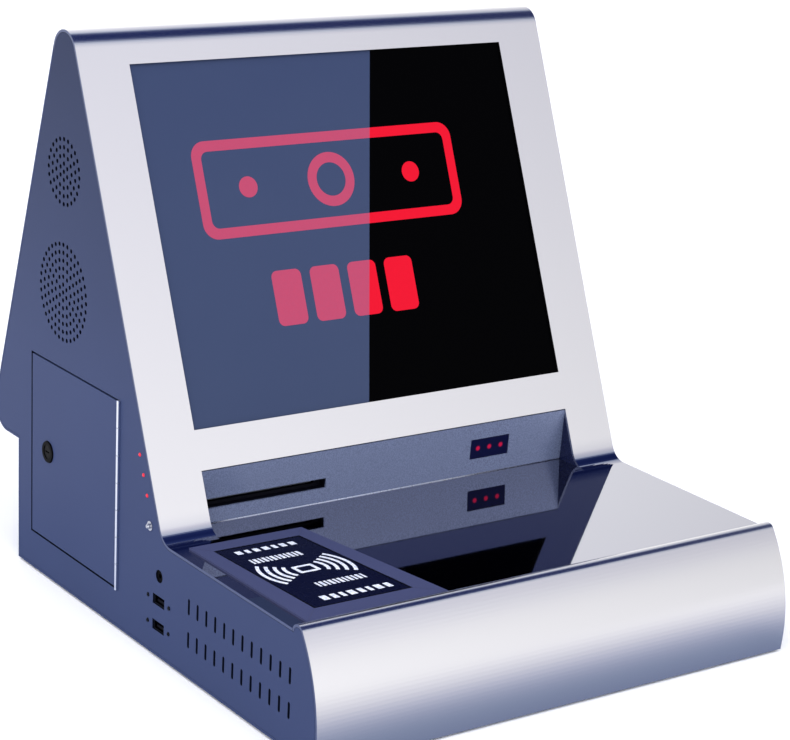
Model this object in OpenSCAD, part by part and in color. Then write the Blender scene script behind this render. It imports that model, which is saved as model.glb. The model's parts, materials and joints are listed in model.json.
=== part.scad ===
/* [Cabinet] */
// Overall width across the side panels
width = 420; // [414:1:426]
// Overall depth from the nose of the front apron to the bulge at the back
depth = 480; // [476:1:486]
// Height of the top edge above the table
height = 435; // [432:1:440]
// Thickness of the bent outer sheets
sheet = 2; // [1.5:0.1:2]
// Height of the rubber feet under the base plate
feet_h = 2; // [2:0.5:3]
// Lean of the screen face, degrees back from vertical
front_lean = 22.9; // [22:0.1:24]
// Radius of the rounded top edge
top_r = 18; // [17:0.5:19]
// Distance of the top edge's centre behind the middle of the cabinet
top_y = 124.7; // [122:0.1:127]
// Radius of the bulge low on the back
bump_r = 20; // [18:1:22]
// Height of the underside of the bulge
bump_z = 101.5; // [100:0.5:104]
// Where the lower back wall stands
lower_back_y = 199; // [197:0.5:201]

/* [Deck and apron] */
// Height of the deck's top face
deck_z = 90.9; // [90.5:0.1:91.5]
// Radius of the bend from the screen frame into the deck
fillet_r = 16; // [14:1:18]
// Radius of the curved front apron
nose_r = 126; // [124:1:128]
// Height at which the apron stands furthest out
nose_z = 22; // [20:1:24]
// Radius of the rolled lip at the top of the apron
lip_r = 7; // [6.5:0.1:7.5]
// Height of the top of the rolled lip
lip_top_z = 95.7; // [95:0.1:96.5]

/* [Screen] */
// Width of the screen opening
screen_w = 337.4; // [334:0.1:340]
// Height of the screen opening, along the sloping face
screen_h = 270.7; // [268:0.1:272]
// Distance along the slope from the base line to the foot of the screen opening
screen_v = 173.4; // [172:0.1:175]
// Distance along the slope from the base line to the top of the recess under the screen
recess_v = 143.4; // [142:0.1:145]
// Lean of the recess wall, degrees forward from vertical
wall_lean = 3.75; // [3:0.05:4.5]

/* [Service door] */
// Front edge of the door opening
door_y = 32.6; // [31:0.1:34]
// Width of the door opening
door_w = 144; // [142:0.5:145]
// Lower edge of the door opening
door_z = 31.6; // [30:0.1:33]
// Height of the door opening
door_h = 148; // [146:0.5:150]

/* [Hidden] */
$fn = 64;

// Overall places
half_w = width / 2;
front_y = -depth / 2;
back_y = depth / 2;
base_z = feet_h;
floor_top = base_z + sheet;
panel_gap = 0.3;
panel_t = 2;
inner_x = half_w - panel_t;
joint_gap = 0.15;

// Centres of the round stretches of the side outline, as [y, z]
top_c = [top_y, height - top_r];
bump_c = [back_y - bump_r, bump_z + bump_r];
nose_c = [front_y + nose_r, nose_z];
lip_z = lip_top_z - lip_r;
lip_c = [nose_c[0] - sqrt(pow(nose_r - lip_r, 2) - pow(lip_z - nose_z, 2)), lip_z];
deck_end = lip_c[0] + sqrt(pow(lip_r, 2) - pow(deck_z - lip_z, 2));

// Outward normals of the sloping faces
n_front = [-cos(front_lean), sin(front_lean)];
back_run = bump_c - top_c;
back_turn = atan2(back_run[1], back_run[0]) + acos((top_r - bump_r) / norm(back_run));
n_back = [cos(back_turn), sin(back_turn)];
split_y = top_c[0] + top_r * n_back[0];

// Depth position of the screen face at a height, taken inward by an inset
function face_y(z, inset) =
    top_c[0] - (top_r - inset - (z - top_c[1]) * sin(front_lean)) / cos(front_lean);

fillet_c = [face_y(deck_z + fillet_r, -fillet_r), deck_z + fillet_r];

// Recess under the screen
recess_half = screen_w / 2;
recess_top_z = base_z + recess_v * cos(front_lean);
recess_top_y = face_y(recess_top_z, 0);
wall_foot_y = recess_top_y + (recess_top_z - deck_z) * tan(wall_lean);
wall_h = (recess_top_z - deck_z) / cos(wall_lean);
wall_t = 1.5;
slot_x = -110.75;
slot_z = 106.7;
slot_w = 104.4;
slot_h = 8.1;
window_x = 95.25;
window_z = 112.4;
window_w = 37.5;
window_h = 16.7;

// Side fittings, as [y, z]
grille_small = [124.5, 330.3];
grille_large = [124.5, 238.5];
grille_pitch = 6.1;
grille_hole_r = 1.7;
led_first = [3.1, 147.6];
led_pitch = 15;
led_r = 1.5;
button_at = [-13.8, 98.6];
button_r = 2.3;
jack_at = [-28.3, 64.5];
jack_r = 4.9;
usb_y = -28;
usb_rows = [45.2, 25.2];
usb_cut = [16.8, 7.8];
usb_screw_gap = 30.4;
screw_r = 1.1;
rear_screw = [195, 90];
vent_first_y = -71.3;
vent_pitch = 12.16;
vent_count = 12;
vent_rows = [56.4, 31.2];
vent_len = 12.3;
vent_w = 2.8;

// Hinge and lock of the service door
hinge_y = door_y + 2.2;
hinge_x = -half_w;
knuckle_r = 2;
pin_r = 0.9;
pin_clear = 0.06;
knuckles = 7;
knuckle_gap = 0.4;
lock_at = [147.7, 105.6];
lock_r = 8;
lock_head_r = 8.8;
lock_len = 15;

// Reader pad corners on the deck, as [x, y]: the pad widens towards the front
pad_outer = [[-199, -51], [-105, -52], [-81.5, -203.6], [-197, -204.4]];
pad_inner = [[-187.2, -64.4], [-115.3, -65.2], [-99.8, -187.4], [-180.8, -187]];
pad_h = 1.5;

// Banknote path
note_x0 = -166;
note_x1 = -51;
note_wall = 2.5;
shaft_r = 2;
roller_r = 6;
shaft_z = slot_z - roller_r;
shaft_ys = [12, 35];
pulley_r = 5;
run_clear = 0.05;
cassette_y = 50;
cassette_d = 115;
cassette_z = 34;
cassette_h = 92;
cassette_wall = 2;
platform_z = 94;
platform_t = 3;
stacker_z = 113;

// Colours
silver = [0.86, 0.87, 0.9];
steel_blue = [0.32, 0.37, 0.5];
graphite = [0.12, 0.13, 0.17];
board_green = [0.1, 0.35, 0.2];
zinc = [0.7, 0.71, 0.73];

// ---------- helpers ----------

// Extrudes a side view, drawn as [y, z], from x0 to x1
module across(x0, x1) {
    translate([x0, 0, 0])
        rotate([90, 0, 90])
            linear_extrude(x1 - x0)
                children();
}

// Puts its children on the screen face: x across, y up the slope, z out of the face
module on_face() {
    translate([0, face_y(base_z, 0), base_z])
        rotate([90 - front_lean, 0, 0])
            children();
}

// Puts its children on the recess wall: x across, y up the wall, z towards the user
module on_wall() {
    translate([0, wall_foot_y, deck_z])
        rotate([90 + wall_lean, 0, 0])
            children();
}

// Puts its children on the left panel's outer face at [y, z], with z pointing outward
module on_left(at) {
    translate([-half_w, at[0], at[1]])
        rotate([0, -90, 0])
            children();
}

module rod_x(r, x0, x1, y, z) {
    translate([x0, y, z])
        rotate([0, 90, 0])
            cylinder(r = r, h = x1 - x0);
}

module box(from, to) {
    translate(from)
        cube(to - from);
}

module centred_box(w, h, z0, z1) {
    translate([-w / 2, -h / 2, z0])
        cube([w, h, z1 - z0]);
}

// ---------- side outline ----------

// Points along a round stretch, from one angle to another
function arc(centre, r, from, to, steps) =
    [for (i = [0 : steps]) centre + r * [cos(from + (to - from) * i / steps), sin(from + (to - from) * i / steps)]];

// The cabinet seen from the side, taken inward by an inset
module outline(inset) {
    foot = base_z + inset;
    front_turn = 180 - front_lean;
    lip_turn = asin((deck_z - inset - lip_z) / (lip_r - inset));
    nose_turn = atan2(lip_c[1] - nose_c[1], lip_c[0] - nose_c[0]);
    foot_turn = 180 + asin((nose_z - foot) / (nose_r - inset));
    polygon(concat(
        arc(top_c, top_r - inset, back_turn, front_turn, 36),
        arc(fillet_c, fillet_r + inset, front_turn - 180, -90, 18),
        arc(lip_c, lip_r - inset, lip_turn, nose_turn, 24),
        arc(nose_c, nose_r - inset, nose_turn, foot_turn, 32),
        [[lower_back_y - inset, foot], [lower_back_y - inset, bump_z + inset]],
        arc(bump_c, bump_r - inset, -90, back_turn, 24)
    ));
}

// The bent sheet all round the outline
module outline_sheet() {
    difference() {
        outline(0);
        outline(sheet);
    }
}

// ---------- cabinet ----------

// Rings of holes around one hole: ring k holds 6 k holes
module grille(at, rings) {
    translate(at) {
        circle(r = grille_hole_r, $fn = 24);
        for (ring = [1 : rings])
            for (i = [0 : 6 * ring - 1])
                rotate(i * 60 / ring)
                    translate([0, ring * grille_pitch])
                        circle(r = grille_hole_r, $fn = 24);
    }
}

// A slot with round ends, standing along the second axis
module slot_2d(w, l) {
    r = w / 2;
    straight = l / 2 - r;
    polygon(concat(
        [for (a = [0 : 30 : 180]) [r * cos(a), straight + r * sin(a)]],
        [for (a = [180 : 30 : 360]) [r * cos(a), -straight + r * sin(a)]]
    ));
}

module vent_slots() {
    for (z = vent_rows)
        for (i = [0 : vent_count - 1])
            translate([vent_first_y - i * vent_pitch, z])
                slot_2d(vent_w, vent_len);
}

// Centre of status lamp i, on a line parallel to the screen face
function led_at(i) = led_first - i * led_pitch * [sin(front_lean), cos(front_lean)];

module side_panel_left() {
    color(steel_blue)
        across(-half_w, -half_w + panel_t)
            difference() {
                outline(sheet + panel_gap);
                grille(grille_small, 4);
                grille(grille_large, 6);
                vent_slots();
                translate([door_y, door_z])
                    square([door_w, door_h]);
                for (i = [0 : 2])
                    translate(led_at(i))
                        circle(r = led_r + 0.1, $fn = 24);
                translate(button_at)
                    circle(r = button_r + 1);
                translate(jack_at)
                    circle(r = jack_r);
                for (z = usb_rows) {
                    translate([usb_y - usb_cut[0] / 2, z - usb_cut[1] / 2])
                        square(usb_cut);
                    for (side = [-1, 1])
                        translate([usb_y + side * usb_screw_gap / 2, z])
                            circle(r = screw_r + 0.1, $fn = 24);
                }
            }
}

module side_panel_right() {
    color(steel_blue)
        across(half_w - panel_t, half_w)
            difference() {
                outline(sheet + panel_gap);
                grille(grille_small, 4);
                grille(grille_large, 6);
                vent_slots();
            }
}

// Rounded top, screen frame, legs and deck in one bent sheet
module front_shell() {
    under = deck_z - sheet;
    color(silver)
        union() {
            difference() {
                across(-half_w, half_w)
                    intersection() {
                        outline_sheet();
                        polygon([
                            [deck_end + joint_gap, under - 1], [deck_end + joint_gap, height + 1],
                            [split_y, height + 1], [split_y, top_c[1] - top_r],
                            [face_y(deck_z, 0) + 4 * sheet, under - 1]
                        ]);
                    }
                on_face()
                    translate([-screen_w / 2, screen_v, -3 * sheet])
                        cube([screen_w, screen_h, 6 * sheet]);
                on_face()
                    translate([-recess_half, recess_v - 2 * fillet_r, -2.5 * sheet])
                        cube([2 * recess_half, 2 * fillet_r, 5 * sheet]);
                box([-recess_half, fillet_c[0], under - 1],
                    [recess_half, wall_foot_y + 4, recess_top_z - fillet_r]);
            }
            box([-recess_half, fillet_c[0] - 1, under], [recess_half, wall_foot_y - joint_gap, deck_z]);
        }
}

// Wall under the screen with the note slot and the sensor window, and its two cheeks
module recess_wall() {
    cheek_t = 1.5;
    drop = 4;
    color([0.45, 0.5, 0.62]) {
        difference() {
            on_wall()
                translate([-recess_half - cheek_t / 2, -drop, -wall_t])
                    cube([2 * recess_half + cheek_t, wall_h + drop - 1, wall_t]);
            on_wall()
                translate([slot_x, (slot_z - deck_z) / cos(wall_lean), 0])
                    centred_box(slot_w, slot_h, -3 * wall_t, wall_t);
            on_wall()
                translate([window_x, (window_z - deck_z) / cos(wall_lean), 0])
                    centred_box(window_w, window_h, -3 * wall_t, wall_t);
        }
        for (side = [-1, 1])
            across(side * (recess_half + cheek_t / 2) - cheek_t / 2, side * (recess_half + cheek_t / 2) + cheek_t / 2)
                intersection() {
                    outline(sheet + 0.1);
                    polygon([
                        [wall_foot_y + 0.6, deck_z - drop + 0.6],
                        [recess_top_y + 0.6, recess_top_z - 1.6],
                        [fillet_c[0] - 5, recess_top_z - 1.6],
                        [fillet_c[0] - 5, deck_z - drop + 0.6]
                    ]);
                }
    }
}

// Curved front sheet with the rolled lip along its top
module front_apron() {
    back = deck_end - joint_gap;
    front_of_base = front_y + 3.7;
    color(silver)
        across(-half_w, half_w)
            intersection() {
                outline_sheet();
                polygon([
                    [front_y - 5, base_z - 1], [front_of_base, base_z - 1],
                    [front_of_base, floor_top + joint_gap], [back, floor_top + joint_gap],
                    [back, lip_top_z + 5], [front_y - 5, lip_top_z + 5]
                ]);
            }
}

// Sloping back with the bulge and its underside
module rear_cover() {
    slot_l = 60;
    slope_mid = (top_c + bump_c) / 2 + (top_r + bump_r) / 2 * n_back;
    color(steel_blue)
        difference() {
            across(-half_w, half_w)
                intersection() {
                    outline_sheet();
                    polygon([
                        [split_y + panel_gap, height + 1], [back_y + 5, height + 1],
                        [back_y + 5, bump_z], [split_y + panel_gap, bump_z]
                    ]);
                }
            for (column = [-1.5 : 1 : 1.5])
                for (row = [0 : 7])
                    translate([column * 84, slope_mid[0], slope_mid[1]])
                        rotate([back_turn, 0, 0])
                            translate([-slot_l / 2, -2 * sheet, 20 + row * 9])
                                cube([slot_l, 4 * sheet, 3]);
        }
}

// Rear fittings, as centre x, centre z, width, height of the cut-out
inlet_at = [150, 52];
inlet_cut = [28, 20.5];
switch_at = [110, 52];
switch_cut = [19.4, 14];
lan_at = [60, 52];
lan_cut = [16.6, 14];

module rear_panel() {
    top = bump_z - panel_gap;
    color(steel_blue)
        difference() {
            box([-half_w, lower_back_y - sheet, floor_top + joint_gap], [half_w, lower_back_y, top]);
            for (cut = [[inlet_at, inlet_cut], [switch_at, switch_cut], [lan_at, lan_cut]])
                box([cut[0][0] - cut[1][0] / 2, lower_back_y - 2 * sheet, cut[0][1] - cut[1][1] / 2],
                    [cut[0][0] + cut[1][0] / 2, lower_back_y + sheet, cut[0][1] + cut[1][1] / 2]);
            for (i = [0 : 11])
                box([-150 + i * 12, lower_back_y - 2 * sheet, 35], [-146 + i * 12, lower_back_y + sheet, 72]);
            for (side = [-1, 1])
                translate([side * rear_screw[0], lower_back_y - 2 * sheet, rear_screw[1]])
                    rotate([-90, 0, 0])
                        cylinder(r = screw_r + 0.2, h = 4 * sheet, $fn = 32);
        }
}

// Anchor holes for bolting the cabinet to a counter
anchor_x = 370;
anchor_ys = [-160, 40];
anchor_r = 3.3;
foot_at = [194, 186];
foot_front_y = -212;

module base_plate() {
    color(steel_blue)
        difference() {
            box([-half_w, front_y + 4, base_z], [half_w, lower_back_y, floor_top]);
            for (x = [-1, 1])
                for (y = anchor_ys)
                    translate([x * anchor_x / 2, y, 0])
                        cylinder(r = anchor_r, h = 3 * floor_top);
            for (x = [-1, 1])
                for (y = [foot_front_y, foot_at[1]])
                    translate([x * foot_at[0], y, 0])
                        cylinder(r = 3, h = 3 * floor_top);
            for (i = [0 : 9])
                box([-60 + i * 12, 60, 0], [-56 + i * 12, 120, 3 * floor_top]);
        }
}

module rubber_feet() {
    color(graphite)
        for (x = [-1, 1])
            for (y = [foot_front_y, foot_at[1]])
                translate([x * foot_at[0], y, 0]) {
                    cylinder(r = 10, h = base_z);
                    cylinder(r = 2.95, h = floor_top + 1);
                }
}

// Square tubes that tie the two side panels together, as [y, z] of a corner, and the cassette's shelf
module chassis_rails() {
    side = 12;
    x = inner_x - 0.2;
    shelf_top = cassette_z - 0.2;
    shelf_x0 = note_x0 - 1;
    shelf_x1 = note_x1 + 1;
    y1 = cassette_y + cassette_d;
    color(zinc) {
        for (at = [[149, 339], [183, 84], [-222, 30], [-71, 74], [6, 73.6]])
            difference() {
                box([-x, at[0], at[1]], [x, at[0] + side, at[1] + side]);
                box([-x - 1, at[0] + 1.5, at[1] + 1.5], [x + 1, at[0] + side - 1.5, at[1] + side - 1.5]);
                for (end = [-1, 1])
                    translate([end * rear_screw[0], lower_back_y - 8, rear_screw[1]])
                        rotate([-90, 0, 0])
                            cylinder(r = screw_r + 0.05, h = 6, $fn = 32);
            }
        difference() {
            box([shelf_x0, cassette_y, floor_top + 0.05], [shelf_x1, y1, shelf_top]);
            box([shelf_x0 + 2, cassette_y - 1, floor_top - 1], [shelf_x1 - 2, y1 + 1, shelf_top - 2]);
        }
    }
}

// ---------- screen ----------

gasket_t = 0.5;
glass_t = 3;
glass_edge = 4.6;
lcd_size = [358.4, 296, 16.8];
screen_mid = screen_v + screen_h / 2;

module screen_gasket() {
    color(graphite)
        on_face()
            translate([0, screen_mid, 0])
                difference() {
                    centred_box(screen_w + 2 * glass_edge, screen_h + 2 * glass_edge, -sheet - gasket_t, -sheet);
                    centred_box(screen_w + 1, screen_h + 1, -sheet - 2 * gasket_t, 0);
                }
}

module screen_glass() {
    front = -sheet - gasket_t;
    color([0.08, 0.09, 0.13])
        on_face()
            translate([0, screen_mid, 0])
                centred_box(screen_w + 2 * glass_edge, screen_h + 2 * glass_edge, front - glass_t, front);
}

lcd_front = -sheet - gasket_t - glass_t - 0.2;

module lcd_panel() {
    color(graphite)
        on_face()
            translate([0, screen_mid, 0])
                centred_box(lcd_size[0], lcd_size[1], lcd_front - lcd_size[2], lcd_front);
}

module lcd_brackets() {
    back = lcd_front - lcd_size[2] - 0.2;
    plate = 1.8;
    bracket_h = 220;
    color(zinc)
        on_face()
            for (side = [-1, 1])
                mirror([side < 0 ? 0 : 1, 0, 0])
                    translate([-inner_x + 0.2, screen_mid - 104, back - plate]) {
                        cube([60, bracket_h, plate]);
                        cube([plate, bracket_h, 20]);
                    }
}

module lcd_driver_board() {
    back = lcd_front - lcd_size[2] - 3;
    color(board_green)
        on_face()
            translate([0, screen_mid, 0]) {
                centred_box(120, 80, back - 1.6, back);
                translate([-30, 10, 0])
                    centred_box(20, 20, back - 4, back - 1.6);
                translate([30, -20, 0])
                    centred_box(30, 9, back - 8, back - 1.6);
                translate([-35, -28, 0])
                    centred_box(24, 8, back - 8, back - 1.6);
            }
}

// ---------- sensor window in the recess wall ----------

sensor_led_gap = 11.3;

module sensor_window() {
    color([0.06, 0.07, 0.14])
        on_wall()
            translate([window_x, (window_z - deck_z) / cos(wall_lean), 0]) {
                centred_box(window_w - 0.3, window_h - 0.3, -wall_t, -0.4);
                centred_box(window_w + 6, window_h + 6, -wall_t - 1.2, -wall_t);
            }
}

module sensor_leds() {
    color([0.85, 0.1, 0.15])
        on_wall()
            for (i = [-1 : 1])
                translate([window_x + i * sensor_led_gap, (window_z - deck_z) / cos(wall_lean), -wall_t - 6])
                    cylinder(r = 1.5, h = 4.6, $fn = 32);
}

module sensor_board() {
    color(board_green)
        on_wall()
            translate([window_x, (window_z - deck_z) / cos(wall_lean), 0])
                centred_box(window_w + 4, window_h + 6, -wall_t - 7.6, -wall_t - 6);
}

// ---------- reader pad on the deck ----------

module reader_bezel() {
    color([0.33, 0.36, 0.48])
        translate([0, 0, deck_z])
            linear_extrude(pad_h)
                difference() {
                    polygon(pad_outer);
                    polygon(pad_inner);
                }
}

module reader_face() {
    middle = (pad_inner[0] + pad_inner[1] + pad_inner[2] + pad_inner[3]) / 4;
    color([0.04, 0.05, 0.12])
        translate([middle[0], middle[1], deck_z])
            scale(0.997)
                linear_extrude(pad_h - 0.3)
                    polygon([for (corner = pad_inner) corner - middle]);
}

module reader_board() {
    under = deck_z - sheet - 0.2;
    color(board_green) {
        box([-184, -185, under - 1.6], [-112, -76, under]);
        box([-160, -150, under - 5], [-140, -130, under - 1.6]);
        box([-130, -100, under - 7], [-118, -84, under - 1.6]);
    }
}

// ---------- sound and air ----------

// Round speaker: flange, basket and magnet, fixed inside a side panel
module speaker_shape() {
    difference() {
        union() {
            cylinder(r = 25, h = 2);
            cylinder(r1 = 23, r2 = 14, h = 14);
            cylinder(r = 14, h = 21);
        }
        translate([0, 0, -1])
            cylinder(r = 21.5, h = 2);
        translate([0, 0, 0.9])
            cylinder(r1 = 21.5, r2 = 8, h = 9);
    }
}

module speaker_left() {
    color(graphite)
        translate([-inner_x + 0.1, grille_small[0], grille_small[1]])
            rotate([0, 90, 0])
                speaker_shape();
}

module speaker_right() {
    color(graphite)
        translate([inner_x - 0.1, grille_small[0], grille_small[1]])
            rotate([0, -90, 0])
                speaker_shape();
}

fan_side = 80;
fan_depth = 25;
fan_hub_r = 16;
fan_axle_r = 1.5;

module fan_frame() {
    color(graphite)
        translate([-inner_x + 0.1, grille_large[0], grille_large[1]])
            rotate([0, 90, 0])
                difference() {
                    union() {
                        difference() {
                            centred_box(fan_side, fan_side, 0, fan_depth);
                            translate([0, 0, -1])
                                cylinder(r = 38, h = fan_depth + 2);
                        }
                        translate([0, 0, fan_depth - 4]) {
                            cylinder(r = fan_hub_r, h = 4);
                            for (i = [0 : 3])
                                rotate(45 + i * 90)
                                    translate([0, -2, 0])
                                        cube([40, 4, 4]);
                        }
                        translate([0, 0, fan_depth - 8])
                            cylinder(r = 4, h = 8);
                    }
                    translate([0, 0, fan_depth - 9])
                        cylinder(r = fan_axle_r + run_clear, h = 6);
                    for (x = [-1, 1])
                        for (y = [-1, 1])
                            translate([x * 35.75, y * 35.75, -1])
                                cylinder(r = 2.15, h = fan_depth + 2);
                }
}

module fan_rotor() {
    blades = 7;
    color([0.2, 0.21, 0.25])
        translate([-inner_x + 0.1, grille_large[0], grille_large[1]])
            rotate([0, 90, 0]) {
                difference() {
                    union() {
                        translate([0, 0, 2])
                            cylinder(r = fan_hub_r, h = fan_depth - 6.5);
                        for (i = [0 : blades - 1])
                            rotate(i * 360 / blades)
                                translate([fan_hub_r - 1, 0, fan_depth / 2 - 2])
                                    rotate([35, 0, 0])
                                        translate([0, -8, -0.8])
                                            cube([21, 16, 1.6]);
                    }
                    translate([0, 0, 4])
                        cylinder(r = fan_hub_r - 1.5, h = fan_depth);
                }
                translate([0, 0, 3])
                    cylinder(r = fan_axle_r, h = fan_depth - 7);
            }
}

// ---------- small fittings on the left panel ----------

module status_leds() {
    color([0.85, 0.1, 0.15])
        for (i = [0 : 2])
            on_left(led_at(i)) {
                translate([0, 0, -5])
                    cylinder(r = led_r, h = 5, $fn = 32);
                intersection() {
                    translate([0, 0, -0.6])
                        sphere(r = 1.6, $fn = 32);
                    cylinder(r = led_r, h = 3, $fn = 32);
                }
            }
}

module status_led_board() {
    first = led_at(0);
    color(board_green)
        translate([-half_w + 5.2, first[0], first[1]])
            rotate([-front_lean, 0, 0])
                box([0, -5, -2 * led_pitch - 8], [1.6, 7, 8]);
}

button_out = 3;
stem_r = 1.4;

module power_button() {
    color(zinc)
        on_left(button_at) {
            translate([0, 0, -14])
                cylinder(r = stem_r, h = 14);
            translate([0, 0, -3])
                cylinder(r = button_r - 0.3, h = 3 + button_out - 1);
            translate([0, 0, button_out - 1])
                cylinder(r1 = button_r - 0.3, r2 = button_r - 1, h = 1);
        }
}

module button_bushing() {
    color(zinc)
        on_left(button_at)
            difference() {
                union() {
                    cylinder(r = button_r + 1.3, h = 0.5);
                    translate([0, 0, -9])
                        cylinder(r = button_r + 0.9, h = 9);
                    translate([0, 0, -5.2])
                        cylinder(r = 6.5, h = 3, $fn = 6);
                    translate([0, 0, -22])
                        cylinder(r = 6, h = 13);
                }
                translate([0, 0, -5.5])
                    cylinder(r = button_r - 0.3 + run_clear, h = 10);
                translate([0, 0, -18])
                    cylinder(r = stem_r + run_clear, h = 14);
            }
}

jack_bore = 1.8;

module headphone_jack() {
    color(graphite)
        on_left(jack_at)
            difference() {
                union() {
                    translate([0, 0, -14])
                        cylinder(r = jack_r - 0.15, h = 13.2);
                    translate([0, 0, -5])
                        cylinder(r = 6.5, h = 2.9, $fn = 6);
                }
                translate([0, 0, -12.8])
                    cylinder(r = jack_bore, h = 14);
            }
}

usb_open = [13.2, 5.8];
usb_depth = 16;

module usb_ports() {
    wall = 0.5;
    color(zinc)
        for (z = usb_rows)
            on_left([usb_y, z])
                difference() {
                    union() {
                        centred_box(usb_open[1] + 2 * wall, usb_open[0] + 2 * wall, -usb_depth - 1.5, -1);
                        centred_box(usb_cut[1] + 3, usb_screw_gap + 8, -4, -2.2);
                    }
                    centred_box(usb_open[1], usb_open[0], -usb_depth, 1);
                    for (side = [-1, 1])
                        translate([0, side * usb_screw_gap / 2, -5])
                            cylinder(r = screw_r + 0.05, h = 5, $fn = 24);
                }
}

module usb_inserts() {
    color(graphite)
        for (z = usb_rows)
            on_left([usb_y, z]) {
                translate([-1.2, 0, 0])
                    centred_box(2, 11, -usb_depth, -2.4);
                difference() {
                    centred_box(usb_cut[1] - 0.2, usb_cut[0] - 0.2, -2.1, -1.2);
                    centred_box(usb_open[1] + 1.1, usb_open[0] + 1.1, -3, 0);
                }
            }
}

// Small button-head screw with a hexagon socket, its head on the plane of its own origin
module screw_shape() {
    difference() {
        union() {
            cylinder(r1 = 1.7, r2 = 1.3, h = 0.7, $fn = 32);
            translate([0, 0, -6])
                cylinder(r = screw_r, h = 6, $fn = 32);
        }
        translate([0, 0, 0.2])
            cylinder(r = 0.6, h = 1, $fn = 6);
    }
}

module panel_screws() {
    color(graphite) {
        for (z = usb_rows)
            for (side = [-1, 1])
                on_left([usb_y + side * usb_screw_gap / 2, z])
                    screw_shape();
        for (side = [-1, 1])
            translate([side * rear_screw[0], lower_back_y, rear_screw[1]])
                rotate([-90, 0, 0])
                    screw_shape();
    }
}

// ---------- service door ----------

knuckle_pitch = door_h / knuckles;

// Hinge knuckles number first, first + 2 and so on, each with its web to the sheet
module knuckle_set(first, web_y0, web_y1, bore) {
    for (i = [first : 2 : knuckles - 1])
        translate([hinge_x, hinge_y, door_z + i * knuckle_pitch + knuckle_gap / 2])
            difference() {
                union() {
                    cylinder(r = knuckle_r, h = knuckle_pitch - knuckle_gap);
                    translate([0.2, web_y0, 0])
                        cube([panel_t - 0.6, web_y1 - web_y0, knuckle_pitch - knuckle_gap]);
                }
                translate([0, 0, -1])
                    cylinder(r = bore, h = knuckle_pitch + 2);
            }
}

module service_door() {
    plate_y = hinge_y + knuckle_r + 0.3;
    far = door_y + door_w - 1.9;
    color([0.34, 0.39, 0.52])
        difference() {
            union() {
                box([-half_w, plate_y, door_z + 1.6], [-half_w + panel_t, far, door_z + door_h - 1.6]);
                intersection() {
                    knuckle_set(1, 0, plate_y - hinge_y + 1, pin_r + pin_clear);
                    box([hinge_x - 5, door_y - 5, door_z], [hinge_x + 5, far, door_z + door_h]);
                }
            }
            on_left(lock_at)
                translate([0, 0, -2 * panel_t])
                    cylinder(r = lock_r + 0.1, h = 3 * panel_t);
        }
}

module door_hinge_leaf() {
    color(zinc)
        union() {
            knuckle_set(0, door_y - hinge_y + 0.05, 0, pin_r + 0.02);
            for (i = [0 : 2 : knuckles - 1])
                box([-inner_x - 1.9, door_y + 0.05, door_z + i * knuckle_pitch + knuckle_gap / 2],
                    [-inner_x + 1.2, door_y + 1, door_z + (i + 1) * knuckle_pitch - knuckle_gap / 2]);
            box([-inner_x + 0.1, door_y - 12, door_z + 0.2],
                [-inner_x + 1.2, door_y + 0.9, door_z + door_h - 0.2]);
        }
}

module hinge_pin() {
    color(zinc)
        translate([hinge_x, hinge_y, door_z + 0.5])
            cylinder(r = pin_r, h = door_h - 1);
}

module lock_barrel() {
    color(graphite)
        on_left(lock_at)
            difference() {
                union() {
                    cylinder(r1 = lock_head_r, r2 = lock_head_r - 0.5, h = 1.2);
                    translate([0, 0, -lock_len])
                        cylinder(r = lock_r, h = lock_len);
                }
                translate([0, 0, -lock_len - 1])
                    cylinder(r = 5.5 + run_clear, h = lock_len + 5);
            }
}

module lock_nut() {
    color(zinc)
        on_left(lock_at)
            translate([0, 0, -panel_t - 3.1])
                difference() {
                    cylinder(r = 11.5, h = 3, $fn = 6);
                    translate([0, 0, -1])
                        cylinder(r = lock_r + 0.1, h = 5);
                }
}

// Turning plug with its key slot outside and its cam inside; the cam hangs down when unlocked
module lock_cam() {
    reach = 34;
    color(graphite)
        on_left(lock_at)
            difference() {
                union() {
                    translate([0, 0, -lock_len - 0.3])
                        cylinder(r = 5.5, h = lock_len + 1);
                    translate([0, 0, -lock_len - 2.3])
                        cylinder(r = 7, h = 2);
                    translate([-reach, -5, -lock_len - 2.3])
                        cube([reach, 10, 2]);
                }
                translate([-0.6, -3, -4])
                    cube([1.2, 6, 8]);
            }
}

// ---------- banknote validator ----------

note_len = 47;
chassis_y = -0.8;

module validator_throat() {
    wide = [slot_w, slot_h];
    color(graphite)
        difference() {
            box([note_x0, -9.6, slot_z - 10], [note_x1, -1.2, slot_z + 10]);
            box([slot_x - wide[0] / 2, -12, slot_z - wide[1] / 2],
                [slot_x + wide[0] / 2, -4.5, slot_z + wide[1] / 2]);
            box([slot_x - 46, -5, slot_z - 1.6], [slot_x + 46, 0, slot_z + 1.6]);
        }
}

// Lower guide with the two side walls that carry the feed shafts
module validator_chassis() {
    guide_top = slot_z - 1.3;
    wall_top = slot_z + 20;
    color([0.2, 0.22, 0.26])
        difference() {
            box([note_x0, chassis_y, slot_z - 21], [note_x1, chassis_y + note_len, wall_top]);
            box([note_x0 + note_wall, chassis_y - 1, guide_top],
                [note_x1 - note_wall, chassis_y + note_len + 1, wall_top + 1]);
            box([note_x0 + note_wall, chassis_y + 2, slot_z - 19],
                [note_x1 - note_wall, chassis_y + note_len - 2, slot_z - 3.3]);
            for (y = shaft_ys) {
                rod_x(shaft_r + run_clear, note_x0 - 1, note_x1 + 1, y, shaft_z);
                for (i = [-1 : 1])
                    box([slot_x + i * 30 - 6, y - 6.5, slot_z - 5], [slot_x + i * 30 + 6, y + 6.5, guide_top + 1]);
            }
        }
}

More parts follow.
